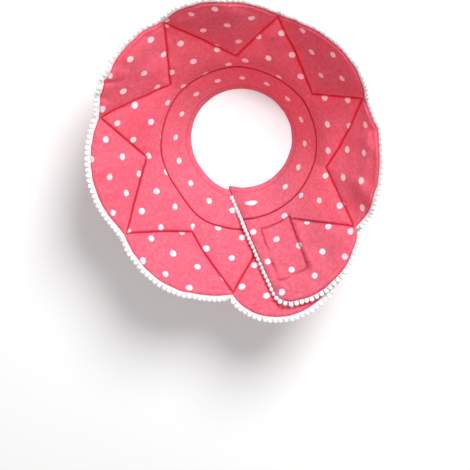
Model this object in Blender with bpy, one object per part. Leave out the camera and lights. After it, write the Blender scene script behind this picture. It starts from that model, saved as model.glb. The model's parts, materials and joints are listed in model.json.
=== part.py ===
"""A soft recovery cone: a quilted cotton cone for a small pet, edged with white pompom trim.

The cone stands on its neck edge with its mouth up. The wall is described on one surface: a turn round the
cone's axis, in degrees, and a slant, the distance up the wall from the neck edge. The turn grows from the free
end of the flap, once round, to the end that lies hidden behind the flap.
"""

from collections import namedtuple
from math import asin, atan2, cos, degrees, exp, pi, radians, sin, tan

import bmesh
import bpy
from mathutils import Matrix, Vector

# Driving dimensions, in metres and degrees.
NECK_RADIUS = 0.050
BAND_WIDTH = 0.040
INNER_SLANT = 0.0576
OUTER_SLANT = 0.056
LOBE_DEPTH = 0.018
NECK_FLARE = 38.7
MOUTH_FLARE = 49.0
FLARE_BLEND = 0.010
LOBE_LEAN = 6.0

PAD_THICKNESS = 0.0050
SEAM_THICKNESS = 0.0018
BAND_THICKNESS = 0.0030
PUFF_LENGTH = 0.006
NECK_EDGE_BLEND = 0.020
FACET_SHARE = 0.30

FLAP_EDGE_TURN = -72.5
FLAP_EDGE_SKEW = 47.0
FLAP_CORNER_RADIUS = 0.013
HIDDEN_END_TURN = 324.0

PATCH_WIDTH = 0.034
PATCH_LENGTH = 0.060
PATCH_THICKNESS = 0.0020
PATCH_TURN = -63.5
PATCH_SET_BACK = 0.004

BALL_DIAMETER = 0.0046
BALL_PITCH = 0.0048
TAPE_WIDTH = 0.0016
TAPE_THICKNESS = 0.0008

FIT = 0.0003

# One row for each point of the zigzag seam at the mouth, from the flap round to the hidden end. inner_turn is the
# seam's inner point before it; outer_reach is a share of OUTER_SLANT; lobe is the depth of the rim's lobe before
# it, a share of LOBE_DEPTH; lobe_power is how pointed the lobe is; lobe_skew below 1 puts it nearer to its start.
Panel = namedtuple("Panel", "inner_turn outer_turn outer_reach lobe lobe_power lobe_skew")
BEFORE_FLAP = Panel(None, -85.0, 1.02, 0.0, 1.0, 1.0)
PANELS = (
    Panel(-53.0, -29.8, 1.01, 1.20, 0.7, 1.00),
    Panel(-11.3, 25.4, 0.95, 0.70, 1.3, 0.89),
    Panel(37.3, 73.0, 1.05, 1.05, 1.3, 0.78),
    Panel(91.1, 117.1, 1.13, 1.02, 1.0, 1.05),
    Panel(136.8, 164.6, 0.95, 0.72, 1.2, 0.80),
    Panel(186.5, 216.7, 0.94, 0.58, 1.3, 0.93),
    Panel(241.7, 269.3, 0.86, 0.62, 1.3, 0.80),
    Panel(284.0, 322.0, 0.80, 1.69, 1.1, 0.85),
)

# The turns between which the wall moves from one layer to the other, and the flap's share of the step.
FLAP_LIFT_TURNS = (-33.0, 15.0)
UNDER_DROP_TURNS = (214.0, 253.0)
FLAP_LIFT_SHARE = 0.26
FACET_FADE_TURN = 18.0
CREASE_LENGTH = 0.002

# Rows of the panel's grid, as shares of the height below and above the zigzag seam, and of the band's width. A
# stretch of the wall between two seam points, in degrees, has several columns unless it is very short.
ROWS_BELOW_SEAM = (0.0, 0.18, 0.5, 0.85, 1.0)
ROWS_ABOVE_SEAM = (0.0, 0.12, 0.4, 0.72, 0.92, 1.0)
ROWS_OF_BAND = (0.0, 0.35, 0.7, 1.0)
COLUMNS_PER_SEAM = 6
SHORTEST_STRETCH = 6.0
CORNER_COLUMNS = 4
PATCH_GRID = (6, 8)
EDGE_STEPS = 60
COLUMN_STEPS = 6

# The outline of a pompom's section, as angles about its middle, and its size in the gap between two pompoms.
POMPOM_ANGLES = (-125.0, -40.0, 40.0, 125.0)
POMPOM_GAP_SHARE = 0.5

FABRIC_RED, FABRIC_GREEN, FABRIC_BLUE = 0.91, 0.115, 0.19
TRIM_WHITE = 0.86
CLOSURE_GREY = 0.62
FABRIC_ROUGHNESS = 0.86
TRIM_ROUGHNESS = 0.95

SHARP_ANGLE = 50.0
WELD_DISTANCE = 1e-5


def smooth(share):
    """An S-curve from 0 to 1 as share goes from 0 to 1."""
    share = min(1.0, max(0.0, share))
    return share * share * (3.0 - 2.0 * share)


def between(low, high, share):
    return low + (high - low) * share


def flare(slant):
    """The wall's angle from the axis at this slant, in radians."""
    share = (slant - INNER_SLANT + FLARE_BLEND) / (2.0 * FLARE_BLEND)
    return radians(between(NECK_FLARE, MOUTH_FLARE, min(1.0, max(0.0, share))))


def profile(slant):
    """Radius and height of the plain cone at this slant: two straight stretches with a soft bend between."""
    past = slant - INNER_SLANT
    if past <= -FLARE_BLEND:
        bent = 0.0
    elif past >= FLARE_BLEND:
        bent = past
    else:
        bent = (past + FLARE_BLEND) ** 2 / (4.0 * FLARE_BLEND)
    neck, mouth = radians(NECK_FLARE), radians(MOUTH_FLARE)
    radius = NECK_RADIUS + slant * sin(neck) + bent * (sin(mouth) - sin(neck))
    height = slant * cos(neck) + bent * (cos(mouth) - cos(neck))
    return radius, height


def outer_slant(panel):
    return INNER_SLANT + OUTER_SLANT * panel.outer_reach


def panel_at(turn):
    """The row before this turn's rim lobe and the row after it."""
    before = BEFORE_FLAP
    for panel in PANELS:
        if turn <= panel.outer_turn:
            return before, panel
        before = panel
    return PANELS[-2], PANELS[-1]


def straight_seam(turn, first_turn, first_slant, last_turn, last_slant):
    """The slant at this turn of a seam that is straight on the flat cloth."""
    apex = profile(INNER_SLANT)[0] / sin(radians(MOUTH_FLARE)) - INNER_SLANT
    turned = sin(radians(MOUTH_FLARE))
    whole = radians(last_turn - first_turn) * turned
    done = radians(turn - first_turn) * turned
    inverse = sin(whole - done) / (first_slant + apex) + sin(done) / (last_slant + apex)
    return sin(whole) / inverse - apex


def zigzag(turn):
    """The slant of the zigzag seam at this turn. It stays level on the flap, which has none."""
    before, after = panel_at(turn)
    inner = after.inner_turn
    if turn < inner and before is BEFORE_FLAP:
        return INNER_SLANT
    if turn < inner:
        return straight_seam(turn, before.outer_turn, outer_slant(before), inner, INNER_SLANT)
    return straight_seam(turn, inner, INNER_SLANT, after.outer_turn, outer_slant(after))


def edge_turn(slant):
    """The turn of the flap's edge, which seen along the axis is a straight line beside the neck's middle."""
    offset = NECK_RADIUS * sin(radians(FLAP_EDGE_SKEW))
    at_rim = asin(offset / profile(INNER_SLANT + OUTER_SLANT + LOBE_DEPTH)[0])
    return FLAP_EDGE_TURN + degrees(at_rim - asin(offset / profile(slant)[0]))


def lobe_slant(turn):
    """The slant of the rim at this turn, before the flap's corner is rounded."""
    before, after = panel_at(turn)
    share = (turn - before.outer_turn) / (after.outer_turn - before.outer_turn)
    share = min(1.0, max(0.0, share))
    chord = between(outer_slant(before), outer_slant(after), share)
    along = share**after.lobe_skew
    lobe = LOBE_DEPTH * after.lobe * (4.0 * along * (1.0 - along)) ** after.lobe_power
    return chord + lobe + CREASE_LENGTH


def rim_slant(turn):
    """The slant of the rim at this turn."""
    slant = lobe_slant(turn)
    off_edge = profile(slant)[0] * radians(turn - FLAP_EDGE_TURN)
    if off_edge >= FLAP_CORNER_RADIUS:
        return slant
    inside = FLAP_CORNER_RADIUS - max(0.0, off_edge)
    rise = max(0.0, FLAP_CORNER_RADIUS**2 - inside**2) ** 0.5
    return slant - (FLAP_CORNER_RADIUS - rise)


def layer_step(slant):
    """How far the two layers lie apart across the axis where the flap covers the hidden end."""
    neck_step = BAND_THICKNESS + 3.0 * FIT
    mouth_step = (PAD_THICKNESS + PATCH_THICKNESS + 2.0 * FIT) / cos(radians(MOUTH_FLARE))
    return between(neck_step, mouth_step, smooth(slant / INNER_SLANT))


def layer_offset(turn, slant):
    """How far the wall lies off the plain cone, across the axis."""
    lift = 1.0 - smooth((turn - FLAP_LIFT_TURNS[0]) / (FLAP_LIFT_TURNS[1] - FLAP_LIFT_TURNS[0]))
    drop = smooth((turn - UNDER_DROP_TURNS[0]) / (UNDER_DROP_TURNS[1] - UNDER_DROP_TURNS[0]))
    return layer_step(slant) * ((1.0 - FLAP_LIFT_SHARE) * drop - FLAP_LIFT_SHARE * lift)


def fold(turn, slant):
    """How far the wall stands towards the mouth: lobes lean in, and panels are flat from seam to seam."""
    first, last = PANELS[0].outer_turn, PANELS[-2].outer_turn
    fade = smooth((turn - first) / FACET_FADE_TURN) * smooth((last - turn) / FACET_FADE_TURN)
    if fade <= 0.0:
        return 0.0
    before, after = panel_at(turn)
    seam = zigzag(turn)
    lean = tan(radians(LOBE_LEAN)) * max(0.0, slant - seam)
    inner = after.inner_turn
    if slant > seam:
        rise = min(1.0, (slant - INNER_SLANT) / (OUTER_SLANT * after.outer_reach))
        left = between(inner, before.outer_turn, rise)
        right = between(inner, after.outer_turn, rise)
        reach = 1.0
    else:
        centre = before if turn < inner else after
        place = PANELS.index(centre)
        rise = max(0.0, (slant - INNER_SLANT) / (OUTER_SLANT * centre.outer_reach))
        left = between(centre.inner_turn, centre.outer_turn, rise)
        right = between(PANELS[place + 1].inner_turn, centre.outer_turn, rise)
        reach = smooth(slant / INNER_SLANT) ** 2
    half = radians(right - left) / 2.0
    off = radians(turn - (left + right) / 2.0)
    sag = profile(slant)[0] * max(0.0, 1.0 - cos(half) / cos(off))
    return fade * (lean + FACET_SHARE * reach * sag)


def wall_point(turn, slant, forward):
    """A point of the wall, forward metres off its middle surface towards the mouth."""
    radius, height = profile(slant)
    radius += layer_offset(turn, slant)
    tilt = flare(slant) * smooth(slant / NECK_EDGE_BLEND)
    ahead = forward + fold(turn, slant)
    radius -= ahead * cos(tilt)
    height += ahead * sin(tilt)
    angle = radians(turn)
    return Vector((radius * cos(angle), radius * sin(angle), height))


def half_thickness(turn, slant):
    """Half the panel's thickness: thin at its seams and edges, full between them."""
    seam_steepness = atan2(OUTER_SLANT, profile(slant)[0] * pi / len(PANELS))
    to_seam = abs(slant - zigzag(turn)) * cos(seam_steepness)
    if turn < PANELS[0].inner_turn:
        to_seam = PATCH_WIDTH
    to_rim = max(0.0, rim_slant(turn) - slant)
    to_band = slant - BAND_WIDTH
    fill = 1.0
    for distance in (to_seam, to_rim, to_band):
        fill *= 1.0 - exp(-distance / PUFF_LENGTH)
    return between(SEAM_THICKNESS, PAD_THICKNESS, fill) / 2.0


def wall_turns():
    """The turns of the wall's columns: finer round the flap's corner, with one at each point of the zigzag."""
    radius = profile(lobe_slant(FLAP_EDGE_TURN))[0]
    corner = degrees(FLAP_CORNER_RADIUS / radius)
    turns = []
    for step in range(CORNER_COLUMNS):
        turns.append(FLAP_EDGE_TURN + corner * (1.0 - cos(pi / 2.0 * step / CORNER_COLUMNS)))
    stops = [FLAP_EDGE_TURN + corner]
    for panel in PANELS:
        stops += [panel.inner_turn, min(panel.outer_turn, HIDDEN_END_TURN)]
    if stops[-1] < HIDDEN_END_TURN:
        stops.append(HIDDEN_END_TURN)
    for first, last in zip(stops, stops[1:]):
        steps = COLUMNS_PER_SEAM if last - first > SHORTEST_STRETCH else 1
        for step in range(steps):
            turns.append(between(first, last, step / steps))
    return turns + [HIDDEN_END_TURN]


def skewed(turn, slant):
    """The turn moved round so that the wall's first column follows the flap's askew edge."""
    span = PANELS[0].inner_turn - FLAP_EDGE_TURN
    fade = max(0.0, 1.0 - (turn - FLAP_EDGE_TURN) / span)
    return turn + (edge_turn(slant) - FLAP_EDGE_TURN) * fade


def finished(name, bm, material):
    """The bmesh made an object of the cone's collection, with its faces outward."""
    bmesh.ops.recalc_face_normals(bm, faces=bm.faces[:])
    mesh = bpy.data.meshes.new(name)
    bm.to_mesh(mesh)
    bm.free()
    mesh.materials.append(material)
    mesh.shade_smooth()
    mesh.set_sharp_from_angle(angle=radians(SHARP_ANGLE))
    piece = bpy.data.objects.new(name, mesh)
    bpy.data.collections["soft_recovery_cone"].objects.link(piece)
    return piece


def padded_wall(name, columns, rows, place, material):
    """A closed wall. place(column, row, side) gives each point, with side 1 at the mouth and -1 behind."""
    bm = bmesh.new()
    column_of = bm.verts.layers.int.new("column")
    row_of = bm.verts.layers.int.new("row")
    bmesh.ops.create_grid(bm, x_segments=columns, y_segments=rows, size=1.0)
    for vertex in bm.verts:
        vertex[column_of] = round((vertex.co.x + 1.0) / 2.0 * columns)
        vertex[row_of] = round((vertex.co.y + 1.0) / 2.0 * rows)
    extruded = bmesh.ops.extrude_face_region(bm, geom=bm.faces[:])
    behind = {item for item in extruded["geom"] if isinstance(item, bmesh.types.BMVert)}
    for vertex in bm.verts:
        vertex.co = place(vertex[column_of], vertex[row_of], -1 if vertex in behind else 1)
    return finished(name, bm, material)


def cone_panel(material):
    """The quilted panel, from the band's seam to the rim."""
    turns = wall_turns()
    shares = [(share, 0.0) for share in ROWS_BELOW_SEAM] + [(1.0, share) for share in ROWS_ABOVE_SEAM[1:]]

    def place(column, row, side):
        turn = turns[column]
        below, above = shares[row]
        seam = min(zigzag(turn), rim_slant(turn) - CREASE_LENGTH)
        slant = between(BAND_WIDTH + FIT / 2.0, seam, below)
        slant = between(slant, rim_slant(turn), above)
        moved = skewed(turn, slant)
        return wall_point(moved, slant, side * half_thickness(turn, slant))

    return padded_wall("cone_panel", len(turns) - 1, len(shares) - 1, place, material)


def neck_band(material):
    """The plain band round the neck, cut level at its lower edge."""
    turns = wall_turns()[CORNER_COLUMNS - 1 :]
    turns[0] = FLAP_EDGE_TURN

    def place(column, row, side):
        slant = between(0.0, BAND_WIDTH - FIT / 2.0, ROWS_OF_BAND[row])
        return wall_point(skewed(turns[column], slant), slant, side * BAND_THICKNESS / 2.0)

    return padded_wall("neck_band", len(turns) - 1, len(ROWS_OF_BAND) - 1, place, material)


def closure_patch(material):
    """The hook-and-loop patch between the two layers, curved with them."""
    columns, rows = PATCH_GRID
    start = INNER_SLANT - PATCH_SET_BACK

    def place(column, row, side):
        slant = start + PATCH_LENGTH * row / rows
        radius = profile(slant)[0]
        turn = PATCH_TURN + degrees(PATCH_WIDTH * (column / columns - 0.5) / radius)
        # Midway between the layers, whose offsets are layer_step apart.
        middle = layer_step(slant) * (0.5 - FLAP_LIFT_SHARE)
        tilt = flare(slant)
        forward = side * PATCH_THICKNESS / 2.0
        radius += middle - forward * cos(tilt)
        height = profile(slant)[1] + forward * sin(tilt)
        angle = radians(turn)
        return Vector((radius * cos(angle), radius * sin(angle), height))

    return padded_wall("closure_patch", columns, rows, place, material)


def trimmed_edge():
    """Closely spaced places along the trimmed edge: up the flap's edge, round its corner and along the rim."""
    places = []
    start = BALL_DIAMETER * 2.0
    corner = rim_slant(FLAP_EDGE_TURN)
    for step in range(EDGE_STEPS):
        slant = between(start, corner, step / EDGE_STEPS)
        places.append((edge_turn(slant), slant))
    turns = wall_turns()
    for first, last in zip(turns, turns[1:]):
        for step in range(COLUMN_STEPS):
            turn = between(first, last, step / COLUMN_STEPS)
            slant = rim_slant(turn)
            places.append((skewed(turn, slant), slant))
    last_turn = turns[-1]
    places.append((last_turn, rim_slant(last_turn)))
    return places


def trim_stations():
    """Frames along the trimmed edge, two for each ball: its middle and the gap after it."""
    places = trimmed_edge()
    points = [wall_point(turn, slant, 0.0) for turn, slant in places]
    ahead = [wall_point(turn, slant, FIT) for turn, slant in places]
    lengths = [0.0]
    for first, last in zip(points, points[1:]):
        lengths.append(lengths[-1] + (last - first).length)
    count = 2 * round(lengths[-1] / BALL_PITCH)
    stations = []
    at = 0
    for step in range(count + 1):
        wanted = lengths[-1] * step / count
        while at < len(points) - 2 and lengths[at + 1] < wanted:
            at += 1
        share = (wanted - lengths[at]) / (lengths[at + 1] - lengths[at])
        point = points[at].lerp(points[at + 1], share)
        normal = (ahead[at] - points[at]).lerp(ahead[at + 1] - points[at + 1], share).normalized()
        stations.append((point, normal))
    return stations


def pompom_trim(material):
    """The white trim: a tape along the edge with a row of small pompoms fused to it."""
    stations = trim_stations()
    ball = BALL_DIAMETER / 2.0
    middle = FIT + TAPE_WIDTH + ball

    def section(station, step):
        """The outline at a station: the tape's edge and the pompom, as distances out and forward."""
        point, normal = station
        before = stations[max(0, step - 1)][0]
        after = stations[min(len(stations) - 1, step + 1)][0]
        outward = (after - before).cross(normal).normalized()
        radius = ball * (1.0 if step % 2 else POMPOM_GAP_SHARE)
        outline = [(FIT, TAPE_THICKNESS / 2.0), (FIT, -TAPE_THICKNESS / 2.0)]
        for angle in POMPOM_ANGLES:
            outline.append((middle + radius * cos(radians(angle)), radius * sin(radians(angle))))
        return [point + outward * out + normal * forward for out, forward in outline]

    sides = 2 + len(POMPOM_ANGLES)
    columns = len(stations) - 1
    bm = bmesh.new()
    bmesh.ops.create_grid(bm, x_segments=columns, y_segments=sides, size=1.0)
    outlines = [section(station, step) for step, station in enumerate(stations)]
    for vertex in bm.verts:
        column = round((vertex.co.x + 1.0) / 2.0 * columns)
        side = round((vertex.co.y + 1.0) / 2.0 * sides)
        vertex.co = outlines[column][side % sides]
    bmesh.ops.remove_doubles(bm, verts=bm.verts[:], dist=WELD_DISTANCE)
    ends = [edge for edge in bm.edges if edge.is_boundary]
    bmesh.ops.holes_fill(bm, edges=ends, sides=sides)
    return finished("pompom_trim", bm, material)


def stand_on_origin(pieces):
    """Moves the pieces so that the origin lies under the middle of them all, at the level they stand on."""
    corners = [vertex.co for piece in pieces for vertex in piece.data.vertices]
    low = [min(corner[axis] for corner in corners) for axis in range(3)]
    high = [max(corner[axis] for corner in corners) for axis in range(3)]
    shift = Vector((-(low[0] + high[0]) / 2.0, -(low[1] + high[1]) / 2.0, -low[2]))
    for piece in pieces:
        piece.data.transform(Matrix.Translation(shift))


def matte_material(name, colour, roughness):
    """A plain cloth material."""
    material = bpy.data.materials.new(name)
    material.use_nodes = True
    shader = material.node_tree.nodes["Principled BSDF"]
    shader.inputs["Base Color"].default_value = (*colour, 1.0)
    shader.inputs["Roughness"].default_value = roughness
    shader.inputs["Metallic"].default_value = 0.0
    return material


def main():
    for leftover in list(bpy.data.objects):
        bpy.data.objects.remove(leftover)
    collection = bpy.data.collections.new("soft_recovery_cone")
    bpy.context.scene.collection.children.link(collection)
    coral = (FABRIC_RED, FABRIC_GREEN, FABRIC_BLUE)
    pieces = [
        cone_panel(matte_material("panel_cotton", coral, FABRIC_ROUGHNESS)),
        neck_band(matte_material("band_cotton", coral, FABRIC_ROUGHNESS)),
        closure_patch(matte_material("hook_and_loop", (CLOSURE_GREY,) * 3, TRIM_ROUGHNESS)),
        pompom_trim(matte_material("trim_cotton", (TRIM_WHITE,) * 3, TRIM_ROUGHNESS)),
    ]
    stand_on_origin(pieces)


main()
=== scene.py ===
"""The looks of a soft recovery cone: quilted spotted cotton, its neck band, stitching and pompom trim.

The wall is described as in the solid model: a turn round the neck's axis, in degrees, and a slant, the
distance up the wall from the neck edge, in metres. The cone stands on its neck edge with its mouth up.
"""

from __future__ import annotations

import json
import logging
import random
from collections.abc import Callable, Iterable, Iterator
from dataclasses import dataclass, field
from enum import Enum, IntEnum
from functools import cached_property
from math import asin, atan2, ceil, cos, degrees, exp, hypot, pi, radians, sin, tan
from typing import NamedTuple

import bmesh
import bpy
from bmesh.types import BMesh, BMVert
from bpy.types import Material, Node, NodeSocket, Object
from mathutils import Matrix, Vector, noise

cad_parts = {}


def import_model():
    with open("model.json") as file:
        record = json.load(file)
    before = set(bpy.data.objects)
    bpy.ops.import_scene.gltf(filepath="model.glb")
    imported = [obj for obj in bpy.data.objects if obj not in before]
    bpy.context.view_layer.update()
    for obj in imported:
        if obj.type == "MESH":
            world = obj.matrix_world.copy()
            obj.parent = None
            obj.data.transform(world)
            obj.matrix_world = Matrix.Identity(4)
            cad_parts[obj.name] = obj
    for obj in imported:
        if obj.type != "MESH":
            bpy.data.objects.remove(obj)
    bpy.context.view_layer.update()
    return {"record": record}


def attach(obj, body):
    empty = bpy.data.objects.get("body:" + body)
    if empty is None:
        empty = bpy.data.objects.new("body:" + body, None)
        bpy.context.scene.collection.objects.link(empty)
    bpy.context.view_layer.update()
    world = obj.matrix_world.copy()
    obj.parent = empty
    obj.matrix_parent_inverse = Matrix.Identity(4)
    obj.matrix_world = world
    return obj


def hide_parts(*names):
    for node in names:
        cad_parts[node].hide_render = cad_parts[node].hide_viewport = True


LOG = logging.getLogger("recovery_cone")
BODY = "root"
MILLIMETRE = 0.001
PRINT_MAP = "print"
# The vertex attribute of painted shade: how much the cloth is darkened in its creases, and as a painted shadow
# at its edges by the tape.
PAINTED_SHADE_MAP = "painted_shade"
Colour = tuple[float, float, float]


class Side(IntEnum):
    """The two faces of the wall."""

    MOUTH = 1
    BEHIND = -1


class Slot(Enum):
    """The record's material slots."""

    COTTON = "coral_cotton"
    TRIM = "white_trim"
    CLOSURE = "hook_and_loop"


class Piece(NamedTuple):
    """One tooth of the zigzag seam: its inner point, the outer point after it and the lobe before that.

    The lobe's power makes it rounder or more pointed, and its skew moves its top along the rim.
    """

    inner_turn: float
    outer_turn: float
    outer_reach: float
    lobe: float
    lobe_power: float
    lobe_skew: float


class Wrinkle(NamedTuple):
    """A short fold in the wall: its middle, its size round the wall and up it, its depth and its lean."""

    turn: float
    slant: float
    half_width: float
    half_length: float
    depth: float
    lean: float


class Cut(NamedTuple):
    """How the print lies on one triangle: its shift in millimetres, its turn in degrees and its stretch."""

    across: float
    along: float
    turned: float
    pulled_across: float = 1.0
    pulled_along: float = 1.0


def smooth(share: float) -> float:
    """An S-curve from 0 to 1 as share goes from 0 to 1."""
    share = min(1.0, max(0.0, share))
    return share * share * (3.0 - 2.0 * share)


def between(low: float, high: float, share: float) -> float:
    """The value that lies this share of the way from low to high."""
    return low + (high - low) * share


def bell(distance: float, width: float) -> float:
    """A bump of height 1 at distance 0 that has faded at about twice the width."""
    return exp(-((distance / width) ** 2))


def rounded(distance: float, radius: float, least: float) -> float:
    """The share of its thickness that a round edge has this far in from its tip.

    Args:
        distance: How far in from the tip.
        radius: How far in the edge is full.
        least: The least square of the share, which keeps the tip from closing.

    Returns:
        The share.
    """
    return max(least, 1.0 - (1.0 - distance / radius) ** 2) ** 0.5


def crowded(steps: int) -> list[float]:
    """Shares from 0 to 1 that lie close together near both ends."""
    return [(1.0 - cos(pi * step / steps)) / 2.0 for step in range(steps + 1)]


def lengths_along(points: list[Vector]) -> list[float]:
    """How far along a line of points each of them lies."""
    lengths = [0.0]
    for first, last in zip(points, points[1:]):
        lengths.append(lengths[-1] + (last - first).length)
    return lengths


def walked(lengths: list[float], stops: Iterable[float]) -> Iterator[tuple[int, float]]:
    """Finds stops along a line of points.

    Args:
        lengths: How far along the line each of its points lies.
        stops: How far along the line the stops lie, in rising order.

    Yields:
        The number of the point before each stop, and the share of the way to the next point.
    """
    at = 0
    for stop in stops:
        while at < len(lengths) - 2 and lengths[at + 1] < stop:
            at += 1
        yield at, (stop - lengths[at]) / max(1e-9, lengths[at + 1] - lengths[at])


@dataclass(frozen=True)
class Wall:
    """The padded wall that every piece of the cone follows."""

    neck_radius: float = 0.050
    band_width: float = 0.040
    inner_slant: float = 0.0576
    outer_slant: float = 0.056
    lobe_depth: float = 0.018
    neck_flare: float = 38.7
    mouth_flare: float = 49.0
    flare_blend: float = 0.010
    lobe_lean: float = 6.0
    pad_thickness: float = 0.0050
    seam_thickness: float = 0.0018
    band_thickness: float = 0.0030
    puff_length: float = 0.006
    neck_edge_blend: float = 0.020
    facet_share: float = 0.30
    flap_edge_turn: float = -72.5
    flap_edge_skew: float = 47.0
    flap_corner_radius: float = 0.013
    hidden_end_turn: float = 324.0
    flap_lift_turns: tuple[float, float] = (-33.0, 15.0)
    under_drop_turns: tuple[float, float] = (214.0, 253.0)
    flap_lift_share: float = 0.26
    facet_fade_turn: float = 18.0
    crease_length: float = 0.002
    patch_thickness: float = 0.0020
    fit: float = 0.0003
    axis_x: float = 0.0
    axis_y: float = 0.0
    ripple: float = 0.0010
    ripple_length: float = 0.040
    small_ripple: float = 0.00085
    small_ripple_length: float = 0.014
    seam_wander: float = 0.0007
    seam_wander_turn: float = 7.0
    rim_wander: float = 0.0008
    rim_wander_turn: float = 5.5
    gather: float = 0.0014
    gather_width: float = 0.016
    gather_length: float = 0.042
    wrinkle_reach: float = 0.05
    short_span: float = 6.0
    before_flap: Piece = Piece(-200.0, -85.0, 1.02, 0.0, 1.0, 1.0)
    teeth: tuple[Piece, ...] = (
        Piece(-53.0, -29.8, 1.01, 1.20, 0.7, 1.00),
        Piece(-11.3, 25.4, 0.95, 0.70, 1.3, 0.89),
        Piece(37.3, 73.0, 1.05, 1.05, 1.3, 0.78),
        Piece(91.1, 117.1, 1.13, 1.02, 1.0, 1.05),
        Piece(136.8, 164.6, 0.95, 0.72, 1.2, 0.80),
        Piece(186.5, 216.7, 0.94, 0.58, 1.3, 0.93),
        Piece(241.7, 269.3, 0.86, 0.62, 1.3, 0.80),
        Piece(284.0, 322.0, 0.80, 1.69, 1.1, 0.85),
    )
    wrinkles: tuple[Wrinkle, ...] = (
        Wrinkle(149.0, 0.126, 0.0026, 0.012, -0.0022, 0.35),
        Wrinkle(155.5, 0.122, 0.0028, 0.011, -0.0019, -0.20),
        Wrinkle(143.0, 0.122, 0.0038, 0.010, 0.0012, 0.20),
        Wrinkle(126.0, 0.128, 0.0040, 0.012, -0.0010, 0.30),
        Wrinkle(107.0, 0.128, 0.0040, 0.014, -0.0012, -0.30),
        Wrinkle(66.0, 0.121, 0.0040, 0.013, -0.0013, 0.45),
        Wrinkle(49.0, 0.110, 0.0050, 0.016, 0.0012, 0.60),
        Wrinkle(41.0, 0.118, 0.0035, 0.013, -0.0012, 0.50),
        Wrinkle(13.0, 0.117, 0.0045, 0.014, -0.0013, 0.20),
        Wrinkle(-8.0, 0.110, 0.0040, 0.014, -0.0012, -0.30),
        Wrinkle(176.0, 0.118, 0.0035, 0.012, -0.0013, 0.30),
        Wrinkle(187.0, 0.115, 0.0035, 0.013, 0.0012, -0.20),
        Wrinkle(224.0, 0.117, 0.0038, 0.012, -0.0012, 0.25),
        Wrinkle(250.0, 0.112, 0.0040, 0.012, -0.0011, -0.25),
        Wrinkle(101.0, 0.118, 0.0060, 0.018, 0.0006, 0.50),
        Wrinkle(58.0, 0.118, 0.0060, 0.016, -0.0006, -0.40),
        Wrinkle(6.0, 0.096, 0.0050, 0.018, -0.0005, 0.10),
        Wrinkle(196.0, 0.104, 0.0055, 0.017, 0.0006, 0.30),
        Wrinkle(233.0, 0.112, 0.0050, 0.015, -0.0006, -0.30),
        Wrinkle(-50.0, 0.113, 0.0140, 0.0024, -0.0008, 0.0),
        Wrinkle(-47.0, 0.107, 0.0120, 0.0030, 0.0006, 0.0),
        Wrinkle(-68.0, 0.118, 0.0018, 0.006, -0.0007, 0.5),
        Wrinkle(-64.5, 0.118, 0.0018, 0.006, -0.0006, 0.1),
        Wrinkle(-60.5, 0.118, 0.0018, 0.006, -0.0006, -0.3),
    )

    @classmethod
    def from_record(cls, record: dict) -> Wall:
        """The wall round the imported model's neck axis, which lies one neck radius from its rest mount."""
        across, along, _ = record["mounts"][0]["pos_m"]
        return cls(axis_x=across + cls.neck_radius, axis_y=along)

    def flare(self, slant: float) -> float:
        """The wall's angle from the axis at this slant, in radians."""
        share = (slant - self.inner_slant + self.flare_blend) / (2.0 * self.flare_blend)
        return radians(between(self.neck_flare, self.mouth_flare, min(1.0, max(0.0, share))))

    def profile(self, slant: float) -> tuple[float, float]:
        """The plain cone's radius and height at a slant.

        Args:
            slant: Distance up the wall.

        Returns:
            The radius and the height.
        """
        past = slant - self.inner_slant
        blend = self.flare_blend
        if past <= -blend:
            bent = 0.0
        elif past >= blend:
            bent = past
        else:
            bent = (past + blend) ** 2 / (4.0 * blend)
        neck, mouth = radians(self.neck_flare), radians(self.mouth_flare)
        radius = self.neck_radius + slant * sin(neck) + bent * (sin(mouth) - sin(neck))
        height = slant * cos(neck) + bent * (cos(mouth) - cos(neck))
        return radius, height

    @cached_property
    def turned(self) -> float:
        """The share of a full turn that the mouth's cone keeps when it is laid out flat."""
        return sin(radians(self.mouth_flare))

    @cached_property
    def apex(self) -> float:
        """The distance from the tip of the mouth's cone to the neck edge, along the flat cloth."""
        return self.profile(self.inner_slant)[0] / self.turned - self.inner_slant

    def laid_flat(self, turn: float, slant: float) -> tuple[float, float]:
        """The place of a point of the wall on the flat cloth, in metres."""
        reach = slant + self.apex
        angle = radians(turn) * self.turned
        return reach * cos(angle), reach * sin(angle)

    def outer_point(self, tooth: Piece) -> float:
        """The slant of a tooth's outer point."""
        return self.inner_slant + self.outer_slant * tooth.outer_reach

    def tooth_at(self, turn: float) -> tuple[Piece, Piece]:
        """The teeth before and after this turn's lobe of the rim."""
        before = self.before_flap
        for tooth in self.teeth:
            if turn <= tooth.outer_turn:
                return before, tooth
            before = tooth
        return self.teeth[-2], self.teeth[-1]

    def straight_seam(self, turn: float, first: tuple[float, float], last: tuple[float, float]) -> float:
        """The slant at a turn of a seam that is straight on the flat cloth.

        Args:
            turn: Where along the seam.
            first: Turn and slant of the seam's start.
            last: Turn and slant of its end.

        Returns:
            The seam's slant there.
        """
        whole = radians(last[0] - first[0]) * self.turned
        done = radians(turn - first[0]) * self.turned
        inverse = sin(whole - done) / (first[1] + self.apex) + sin(done) / (last[1] + self.apex)
        return sin(whole) / inverse - self.apex

    def wander(self, turn: float, depth: float, spacing: float, line: float = 0.5) -> float:
        """How far a sewn line strays at a turn: its depth, its spacing in degrees and which line it is."""
        return depth * noise.noise(Vector((turn / spacing, line, 0.5)))

    def zigzag(self, turn: float) -> float:
        """The slant of the zigzag seam at this turn. It stays level on the flap, which has none."""
        before, after = self.tooth_at(turn)
        inner = (after.inner_turn, self.inner_slant)
        if turn < inner[0] and before is self.before_flap:
            return self.inner_slant
        wander = self.wander(turn, self.seam_wander, self.seam_wander_turn)
        if turn < inner[0]:
            return wander + self.straight_seam(turn, (before.outer_turn, self.outer_point(before)), inner)
        return wander + self.straight_seam(turn, inner, (after.outer_turn, self.outer_point(after)))

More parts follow.
